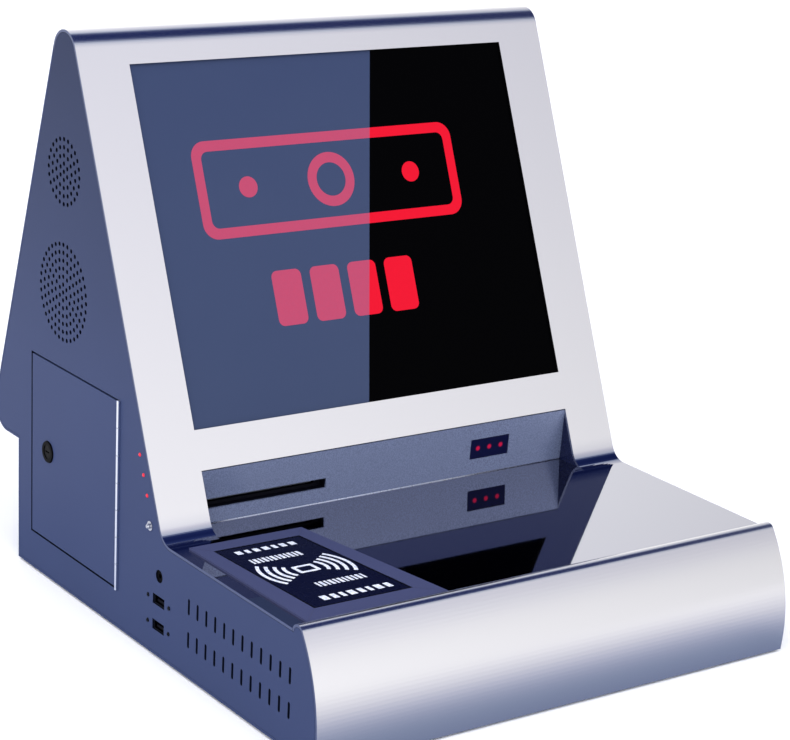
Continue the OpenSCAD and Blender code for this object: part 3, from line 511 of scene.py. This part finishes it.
# Nodes that look different from the rest of their slot
OWN_LOOKS = {
    "front_shell": polished_steel("shell_steel", deck_polish=True),
    "side_panel_left": shaded_side_panel_paint("side_panel_left", PANEL_BLUE),
    "side_panel_right": shaded_side_panel_paint("side_panel_right", PANEL_BLUE),
    "service_door": painted_hinge("door_paint", scaled(PANEL_BLUE, 1.03)),
    "door_hinge_leaf": painted_hinge("leaf_paint", PANEL_BLUE),
    # painted shade: the USB shells are darkened to stand for the shadow inside the ports
    "usb_ports": metal("nickel_with_painted_shade", srgb(34, 36, 46), 0.4),
    # partly its own black plastic, partly painted shade: near black for the shade inside the
    # socket
    "headphone_jack": moulded_plastic("jack_black_and_shade", srgb(4, 4, 6), 0.5, specular=0.03),
    "lock_barrel": moulded_plastic("lock_black", srgb(4, 4, 6), 0.45, specular=0.03),
    "lock_cam": moulded_plastic("lock_plug", srgb(6, 6, 9), 0.4, specular=0.05),
}

for part in frame["record"]["subparts"]:
    slots = NODES[part["node"]].data.materials
    slots.clear()
    slots.append(OWN_LOOKS.get(part["node"], MATERIALS[part["material_slot"]]))


# ---------- flat shapes ----------

PRINT_GAP = 0.03  # millimetres between a print and the face under it
WELD = 0.001 * MM  # corners nearer than this become one


def rounded_rectangle(x, y, width, height, radius, steps=8):
    """Corner arcs joined by straight sides, anticlockwise."""
    points = []
    for turn, (side_x, side_y) in enumerate(((1, 1), (-1, 1), (-1, -1), (1, -1))):
        middle_x = x + side_x * (width / 2 - radius)
        middle_y = y + side_y * (height / 2 - radius)
        for step in range(steps + 1):
            angle = math.radians(90 * (turn + step / steps))
            out_x = radius * math.cos(angle)
            out_y = radius * math.sin(angle)
            points.append((middle_x + out_x, middle_y + out_y))
    return points


def circle(x, y, radius):
    return rounded_rectangle(x, y, 2 * radius, 2 * radius, radius, steps=12)


def ring_part(x, y, inner, outer, start, end, steps=14):
    """Part of a ring between two angles, in degrees."""
    angles = [math.radians(start + (end - start) * step / steps) for step in range(steps + 1)]
    out = [(x + outer * math.cos(a), y + outer * math.sin(a)) for a in angles]
    back = [(x + inner * math.cos(a), y + inner * math.sin(a)) for a in reversed(angles)]
    return out + back


def bar_row(left, right, y, height, widths, gap):
    """Plain upright bars in a row, their widths repeating."""
    loops = []
    x = left
    for width in cycle(widths):
        if x + width > right:
            return loops
        loops.append([(x, y), (x + width, y), (x + width, y + height), (x, y + height)])
        x += width + gap


def flat_piece(name, loops, place, thickness, material):
    """Piece cut out of a flat sheet along closed loops, a loop inside another being a hole.

    The loops and the thickness are in millimetres. place(x, y, lift) turns a point of them into a
    point in the frame's metres."""
    curve = bpy.data.curves.new(name, "CURVE")
    curve.dimensions = "2D"
    curve.fill_mode = "BOTH"
    curve.extrude = 0.5
    for loop in loops:
        spline = curve.splines.new("POLY")
        spline.points.add(len(loop) - 1)
        for point, (x, y) in zip(spline.points, loop):
            point.co = (x, y, 0, 1)
        spline.use_cyclic_u = True
    drawn = bpy.data.objects.new(name + "_outline", curve)
    bpy.context.scene.collection.objects.link(drawn)
    bpy.context.view_layer.update()
    filled = drawn.evaluated_get(bpy.context.evaluated_depsgraph_get())
    mesh = bpy.data.meshes.new_from_object(filled)
    bpy.data.objects.remove(drawn)
    for vertex in mesh.vertices:
        lift = thickness if vertex.co.z > 0 else 0.0
        vertex.co = place(vertex.co.x, vertex.co.y, lift)
    welded = bmesh.new()
    welded.from_mesh(mesh)
    bmesh.ops.remove_doubles(welded, verts=welded.verts, dist=WELD)
    bmesh.ops.recalc_face_normals(welded, faces=welded.faces)
    welded.to_mesh(mesh)
    welded.free()
    mesh.materials.clear()
    mesh.materials.append(material)
    piece = bpy.data.objects.new(name, mesh)
    bpy.context.scene.collection.objects.link(piece)
    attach(piece, "cabinet")
    return piece


# ---------- picture on the screen ----------


def on_glass(x, up, lift):
    """A point of the screen, in millimetres from its middle, lifted off the glass."""
    return (
        glass_middle
        + Vector((x * MM, 0, 0))
        + glass_up * up * MM
        + glass_normal * (lift + PRINT_GAP) * MM
    )


def mark_material():
    """Lit red of the picture on the screen, washed out to pink under the painted reflection."""
    shader = Shader("screen_mark", MARK_RED, 0.4)
    pixels = shader.span(shader.cells(0.9 * MM), 0.0, 0.8, 1.0, 0.9)
    # painted reflection: the lit red turns pink where the sheen lies
    shown = shader.blend(painted_sheen_mask(shader), MARK_RED, MARK_PINK_UNDER_SHEEN)
    unlit = shader.span(shader.noise(3 * MM), NOISE_LOW, NOISE_HIGH)
    shader.tint(unlit, scaled(MARK_RED, 0.02), scaled(MARK_RED, 0.04))
    shader.set("Emission Color", shader.blend(pixels, scaled(MARK_RED, 0.8), shown))
    shader.set("Emission Strength", 1.0)
    shader.set("Specular IOR Level", 0.1)
    return shader.material


def make_screen_mark():
    """A plain banknote sign over a row of four blocks."""
    x, up = -12, 38
    width, height, line = 236, 74, 8
    outer_corner, inner_corner = 12, 6
    coin, coin_hole = 21, 13
    dot, dot_away = 8, 74
    blocks, block_pitch = 4, 34
    block_w, block_h, block_corner = 26, 42, 5
    blocks_x, blocks_up = x - 4, -48
    loops = [
        rounded_rectangle(x, up, width, height, outer_corner),
        rounded_rectangle(x, up, width - 2 * line, height - 2 * line, inner_corner),
        circle(x, up, coin),
        circle(x, up, coin_hole),
        circle(x - dot_away, up, dot),
        circle(x + dot_away, up, dot),
    ]
    for block in range(blocks):
        block_x = blocks_x + (block - (blocks - 1) / 2) * block_pitch
        loops.append(rounded_rectangle(block_x, blocks_up, block_w, block_h, block_corner))
    ink = 0.1
    mark = flat_piece("screen_mark", loops, on_glass, ink, mark_material())
    mark.visible_glossy = False


make_screen_mark()


# ---------- card pad ----------


def pad_corners(points):
    """Front left, front right, back right and back left corner of a four-sided face."""

    def extreme(side_x, side_y):
        return max(points, key=lambda p: side_x * p.x + side_y * p.y)

    return [extreme(-1, -1), extreme(1, -1), extreme(1, 1), extreme(-1, 1)]


pad_points, _ = face_plane("reader_face", (0, 0, 1))
bezel_points, _ = face_plane("reader_bezel", (0, 0, 1))
front_left, front_right, back_right, back_left = pad_corners(pad_points)
PAD_W = 76.0  # the pad's size as the prints on it are laid out, in millimetres
PAD_L = 122.0


def on_pad(x, y, lift):
    """A point of the pad, in millimetres from its middle as if it were a plain rectangle."""
    across = 0.5 + x / PAD_W
    along = 0.5 + y / PAD_L
    front = front_left.lerp(front_right, across)
    back = back_left.lerp(back_right, across)
    return front.lerp(back, along) + Vector((0, 0, (lift + PRINT_GAP) * MM))


def make_pad_print():
    """Blank card between radiating arcs, and four rows of plain bars."""
    shader = Shader("pad_print", srgb(236, 240, 250), 0.5)
    wear = shader.span(shader.noise(2.5 * MM), 0.35, 0.6)
    shader.tint(wear, srgb(196, 204, 226), srgb(240, 243, 252))
    shader.set("Roughness", shader.span(wear, 0.0, 1.0, 0.6, 0.45))
    ink = 0.08
    card_y = 3.5
    card, card_hole = (17, 13, 1.5), (11.5, 8, 1)  # width, height and corner radius
    arc_radii = (14, 20, 26, 32)
    arc_width = 2.7
    arc_reach = 34  # degrees to either side of the middle
    loops = [
        rounded_rectangle(0, card_y, *card),
        rounded_rectangle(0, card_y, *card_hole),
    ]
    for inner in arc_radii:
        for side in (0, 180):
            start, end = side - arc_reach, side + arc_reach
            loops.append(ring_part(0, card_y, inner, inner + arc_width, start, end))
    flat_piece("pad_waves", loops, on_pad, ink, shader.material)
    # Left end, right end, front edge, height, repeating widths and gap of each row
    rows = (
        (-26, 26, 47, 6, (5, 3.5, 4.5), 3.4),
        (-26, 16, 27, 8, (1.6, 2.4), 1.6),
        (-12, 28, -30, 8, (1.6, 2.4), 1.6),
        (-24, 34, -52, 7.5, (5, 4, 3), 3.0),
    )
    bars = [bar for row in rows for bar in bar_row(*row)]
    flat_piece("pad_bars", bars, on_pad, ink, shader.material)


def make_pad_border():
    """Black line round the pad's face."""
    line_start, line_end = 0.2, 1.4  # distance of the line's two edges from the pad's edge
    ink = 0.06
    shader = Shader("pad_edge", srgb(2, 2, 4), 0.5)
    shader.tint(shader.noise(1 * MM), srgb(1, 1, 2), srgb(4, 4, 8))
    shader.set("Specular IOR Level", 0.05)
    corners = ((-1, -1), (1, -1), (1, 1), (-1, 1))
    loops = [
        [(x * (PAD_W / 2 - inset), y * (PAD_L / 2 - inset)) for x, y in corners]
        for inset in (line_start, line_end)
    ]
    flat_piece("pad_border", loops, on_pad, ink, shader.material)


def make_pad_mitres():
    """Thin joints from the inner to the outer corners of the bezel."""
    half_line = 0.15
    ink = 0.03
    end_share = 0.04  # share of the joint's length left free at either end
    shader = Shader("mitre_line", srgb(40, 42, 70), 0.6)
    shader.tint(shader.noise(1 * MM), srgb(34, 36, 62), srgb(52, 54, 86))
    loops = []
    for inner, outer in zip(pad_corners(pad_points), pad_corners(bezel_points)):
        run = (outer - inner).xy
        side = Vector((-run.y, run.x)).normalized() * half_line
        start = inner.xy / MM + run / MM * end_share
        end = outer.xy / MM - run / MM * end_share
        corners = (start - side, end - side, end + side, start + side)
        loops.append([tuple(corner) for corner in corners])
    top = bezel_points[0].z

    def on_bezel(x, y, lift):
        return Vector((x * MM, y * MM, top + (lift + PRINT_GAP / 3) * MM))

    flat_piece("pad_mitres", loops, on_bezel, ink, shader.material)


make_pad_print()
make_pad_border()
make_pad_mitres()


# ---------- bead along the foot of the recess wall ----------


def make_recess_bead():
    """Quarter-round bead in the corner between the recess wall and the deck."""
    radius, gap, steps = 0.7, 0.03, 6
    end_gap = 2 * MM
    wall_points, wall_normal = face_plane("recess_wall", (0, -1, -0.07))
    foot_y = (wall_points[0].dot(wall_normal) - wall_normal.z * deck_top) / wall_normal.y
    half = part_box("recess_wall")[1].x - end_gap
    section = [(gap, gap)]
    for step in range(steps + 1):
        angle = math.radians(90 * step / steps)
        section.append((gap + radius * math.cos(angle), gap + radius * math.sin(angle)))

    def along_foot(out, up, lift):
        return Vector((lift * MM - half, foot_y - out * MM, deck_top + up * MM))

    shader = Shader("bead_steel", BARE_METAL, 0.3, metallic=1.0)
    shader.roughen(shader.noise(2 * MM), 0.25, 0.35)
    shader.tint(shader.noise(30 * MM), scaled(BARE_METAL, 0.85), BARE_METAL)
    length = 2 * half / MM
    flat_piece("recess_bead", [section], along_foot, length, shader.material)


make_recess_bead()


# ---------- camera ----------

CAMERA_AT = Vector((-1.0000, -1.4142, 0.7022))
CAMERA_TARGET = Vector((0.10994, 0.1425, 0.09534))
CAMERA_ROLL = math.radians(2.897)
CAMERA_LENS = 108.0
CAMERA_SENSOR = 36
CAMERA_SHIFT = (0.0037, 0.0515)


def make_camera():
    data = bpy.data.cameras.new("camera")
    data.sensor_width = CAMERA_SENSOR
    data.lens = CAMERA_LENS
    data.shift_x, data.shift_y = CAMERA_SHIFT
    camera = bpy.data.objects.new("camera", data)
    ahead = (CAMERA_TARGET - CAMERA_AT).normalized()
    level_right = ahead.cross(Vector((0, 0, 1))).normalized()
    level_up = level_right.cross(ahead)
    right = level_right * math.cos(CAMERA_ROLL) + level_up * math.sin(CAMERA_ROLL)
    up = right.cross(ahead)
    turn = Matrix((right, up, -ahead)).transposed()
    camera.matrix_world = Matrix.Translation(CAMERA_AT) @ turn.to_4x4()
    bpy.context.scene.collection.objects.link(camera)
    bpy.context.scene.camera = camera


make_camera()


# ---------- light and floor ----------

STUDIO_GAIN = 1.07  # surroundings over what the steel's own colour alone calls for


def seen_in_steel(tone):
    """Light that the polished steel shows as a display tone."""
    channels = zip(srgb(*tone)[:3], STEEL[:3])
    return (*[STUDIO_GAIN * channel / steel for channel, steel in channels], 1.0)


# Tone of the surroundings by the sine of their height over the horizon, seen along X
SKY_TONES = (
    (0.10, (241, 240, 245)),
    (0.24, (240, 239, 244)),
    (0.38, (236, 235, 240)),
    (0.45, (232, 231, 237)),
    (0.56, (219, 218, 228)),
    (0.66, (207, 206, 218)),
    (0.78, (196, 198, 212)),
    (0.87, (174, 180, 200)),
    (0.905, (118, 128, 160)),
    (0.93, (40, 52, 98)),
    (1.0, (24, 34, 80)),
)
# Share of that light by direction along X: the right-hand side is dimmer
SIDE_SHARES = (
    (0.42, 1.07),
    (0.47, 1.05),
    (0.52, 1.0),
    (0.57, 0.945),
    (0.62, 0.875),
    (0.66, 0.81),
    (0.85, 0.6),
)
LEAST_SPREAD = 0.75  # keeps the horizon bright straight to the left and right
FRONT_SHIFT = 0.06  # brings the dark ceiling lower in front than behind


def make_world():
    """Bright walls under a dark blue ceiling, which the polished bends show as bands."""
    world = bpy.data.worlds.new("studio")
    world.use_nodes = True
    nodes = Nodes(world.node_tree, "Generated")
    across = nodes.axis("X")
    square = nodes.math("MULTIPLY", across, across)
    spread = nodes.math("SQRT", nodes.math("SUBTRACT", 1.0, square))
    height = nodes.math("DIVIDE", nodes.axis("Z"), nodes.math("MAXIMUM", spread, LEAST_SPREAD))
    shift = nodes.math("MULTIPLY", nodes.axis("Y"), FRONT_SHIFT)
    height = nodes.math("SUBTRACT", height, shift)
    sky = nodes.ramp(height, [(at, seen_in_steel(tone)) for at, tone in SKY_TONES])
    side = nodes.ramp(across, [(at, (share, share, share, 1.0)) for at, share in SIDE_SHARES])
    background = world.node_tree.nodes["Background"]
    nodes.link(nodes.blend(1.0, sky, side, "MULTIPLY"), background.inputs[0])
    bpy.context.scene.world = world


SUN_TOWARDS = Vector((0.30, 0.42, -0.86))
SUN_POWER = 2.5
SUN_SPREAD = math.radians(70)


def make_sun():
    """One wide soft light that the steel doesn't mirror."""
    data = bpy.data.lights.new("sky", "SUN")
    data.energy = SUN_POWER
    data.angle = SUN_SPREAD
    light = bpy.data.objects.new("sky", data)
    light.rotation_euler = SUN_TOWARDS.to_track_quat("-Z", "Y").to_euler()
    light.visible_glossy = False
    bpy.context.scene.collection.objects.link(light)


# Tone of the floor in the steel, a painted shadow near the cabinet, by distance in metres from
# the cabinet's footprint
FLOOR_SHADOW_TONES = (
    (0.0, (112, 122, 152)),
    (0.02, (124, 134, 162)),
    (0.045, (142, 149, 175)),
    (0.092, (174, 177, 198)),
    (0.15, (196, 197, 211)),
    (0.21, (210, 209, 221)),
    (0.5, (226, 225, 233)),
    (1.0, (236, 235, 240)),
)
FLOOR_REACH = 30.0
FLOOR_DROP = 0.05 * MM


def make_floor():
    """Pale floor. In the steel it darkens softly towards the cabinet, a painted shadow seen only
    in reflections.
    """
    shader = Shader("floor", srgb(250, 250, 252), 0.9)
    shader.tint(shader.noise(1.5, detail=1.0), srgb(249, 249, 251), srgb(252, 252, 253))
    shader.set("Specular IOR Level", 0.0)
    squares = []
    for axis, half in (("X", cad_bounds[1].x), ("Y", cad_bounds[1].y)):
        beyond = shader.math("SUBTRACT", shader.math("ABSOLUTE", shader.axis(axis)), half)
        squares.append(shader.math("POWER", shader.math("MAXIMUM", beyond, 0.0), 2.0))
    distance = shader.math("SQRT", shader.math("ADD", *squares))
    # painted shadow: glossy rays see the floor darker near the cabinet
    shade = shader.new("Emission")
    tones = [(at, seen_in_steel(tone)) for at, tone in FLOOR_SHADOW_TONES]
    shader.link(shader.ramp(distance, tones), shade.inputs["Color"])
    mix = shader.new("MixShader")
    shader.link(shader.new("LightPath").outputs["Is Glossy Ray"], mix.inputs[0])
    shader.link(shader.principled.outputs[0], mix.inputs[1])
    shader.link(shade.outputs[0], mix.inputs[2])
    shader.link(mix.outputs[0], shader.output.inputs["Surface"])
    mesh = bpy.data.meshes.new("floor")
    sides = ((-1, -1), (1, -1), (1, 1), (-1, 1))
    corners = [(x * FLOOR_REACH, y * FLOOR_REACH, 0) for x, y in sides]
    mesh.from_pydata(corners, [], [(0, 1, 2, 3)])
    mesh.materials.append(shader.material)
    floor = bpy.data.objects.new("floor", mesh)
    floor.location.z = -FLOOR_DROP
    bpy.context.scene.collection.objects.link(floor)


make_world()
make_sun()
make_floor()
bpy.context.scene.view_settings.view_transform = "Standard"
